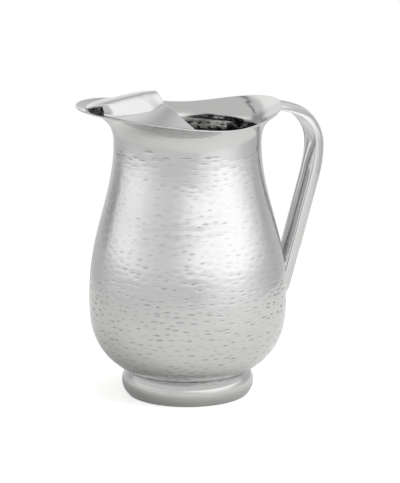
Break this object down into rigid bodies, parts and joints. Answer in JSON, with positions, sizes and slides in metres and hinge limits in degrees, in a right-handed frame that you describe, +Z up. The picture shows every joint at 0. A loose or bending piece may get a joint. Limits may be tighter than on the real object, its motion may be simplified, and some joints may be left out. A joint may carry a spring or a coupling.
{
  "type": "pitcher with ice guard",
  "caption": "Hammered steel water pitcher with a trumpet mouth, wavy oval rim, ice guard over the spout, foot ring and hollow loop handle.",
  "frame": {"origin": "centre of the footprint's bounding box, on the plane the foot ring stands on", "axes": "+Z up along the body, +X from the spout towards the handle, +Y across the mouth to the pourer's left when the handle is held in front"},
  "size_m": [0.1924, 0.1458, 0.229],
  "materials": {
    "hammered_steel": "hand-hammered stainless steel, polished over the facets",
    "polished_steel": "mirror-polished stainless steel",
    "weld_steel": "dressed weld bead"
  },
  "bodies": {
    "root": {"body_shell": "hammered_steel", "foot_ring": "polished_steel", "foot_ring_weld": "weld_steel", "ice_guard": "polished_steel", "guard_near_weld": "weld_steel", "guard_far_weld": "weld_steel", "guard_nose_weld": "weld_steel", "handle_outer_shell": "polished_steel", "handle_inner_plate": "polished_steel", "handle_rim_weld": "weld_steel", "handle_body_weld": "weld_steel"}
  },
  "joints": []
}
